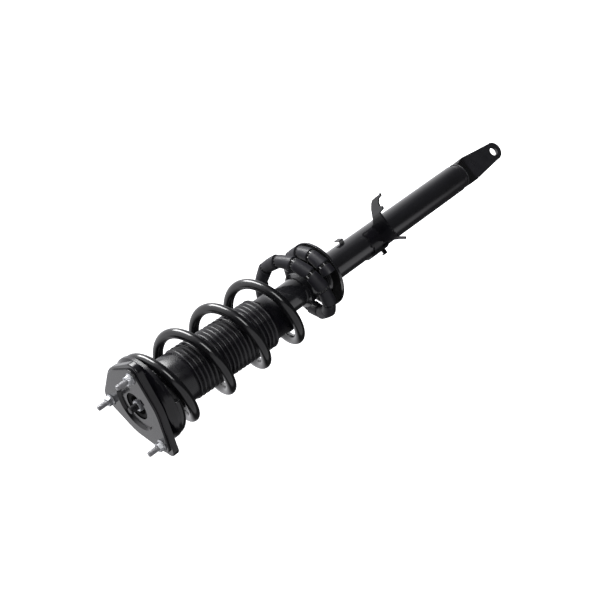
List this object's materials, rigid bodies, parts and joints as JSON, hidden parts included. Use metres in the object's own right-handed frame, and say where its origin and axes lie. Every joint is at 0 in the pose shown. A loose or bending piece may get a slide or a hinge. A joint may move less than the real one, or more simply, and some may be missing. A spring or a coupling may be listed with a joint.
{
  "type": "strut assembly",
  "caption": "Coil-over suspension strut: stud-plate top mount, coil spring in split sleeves, ribbed dust boot, long damper tube with hose bracket and blade end with one eye.",
  "frame": {"origin": "centre of the hole in the lower blade", "axes": "+Z along the strut axis towards the top mount; Y along the lower hole; the single stud is at -X"},
  "size_m": [0.1489, 0.1484, 0.814],
  "materials": {
    "black_gloss_paint": "gloss black dip-paint",
    "spring_paint": "satin dark grey powder coat",
    "zinc": "bright zinc plate",
    "rod_chrome": "hard chrome, ground",
    "plain_steel": "machined, oiled",
    "rubber": "moulded, matt",
    "boot_rubber": "moulded, satin",
    "sleeve_plastic": "moulded, satin",
    "foam": "microcellular, matt",
    "sintered": "sintered iron"
  },
  "bodies": {
    "top_mount": {"upper_mount_plate": "black_gloss_paint", "lower_mount_plate": "black_gloss_paint", "mount_studs": "zinc", "stud_nuts": "zinc", "mount_bush": "rubber", "bush_sleeve": "plain_steel", "rod_washer": "zinc", "rod_nut": "zinc", "piston_rod": "rod_chrome", "piston": "sintered", "piston_band": "sleeve_plastic", "piston_nut": "plain_steel", "rebound_stop": "plain_steel", "bump_stop_cup": "black_gloss_paint", "bump_stop": "foam", "upper_spring_seat": "black_gloss_paint", "upper_isolator": "rubber", "dust_boot": "boot_rubber"},
    "spring_unit": {"coil_spring": "spring_paint", "spring_sleeves": "sleeve_plastic"},
    "damper": {"strut_tube": "black_gloss_paint", "rod_guide": "sintered", "rod_seal": "rubber", "striker_cap": "sleeve_plastic", "pressure_tube": "plain_steel", "base_valve": "sintered", "base_cup": "black_gloss_paint", "lower_blade": "black_gloss_paint", "lower_spring_seat": "black_gloss_paint", "lower_isolator": "rubber", "bracket_saddle": "black_gloss_paint", "hose_bracket": "black_gloss_paint", "wire_tab": "black_gloss_paint"}
  },
  "joints": [
    {"name": "spring_swivel", "type": "hinge", "parent": "top_mount", "child": "spring_unit", "pos_m": [0, 0, 0.7435], "axis": [0, 0, 1], "range_deg": [-30, 30]},
    {"name": "strut_travel", "type": "slide", "parent": "spring_unit", "child": "damper", "axis": [0, 0, 1], "range_m": [0, 0.12], "stiffness_N_per_m": 68000, "springref_m": -0.01, "deforming": ["coil_spring", "spring_sleeves", "dust_boot"]}
  ]
}
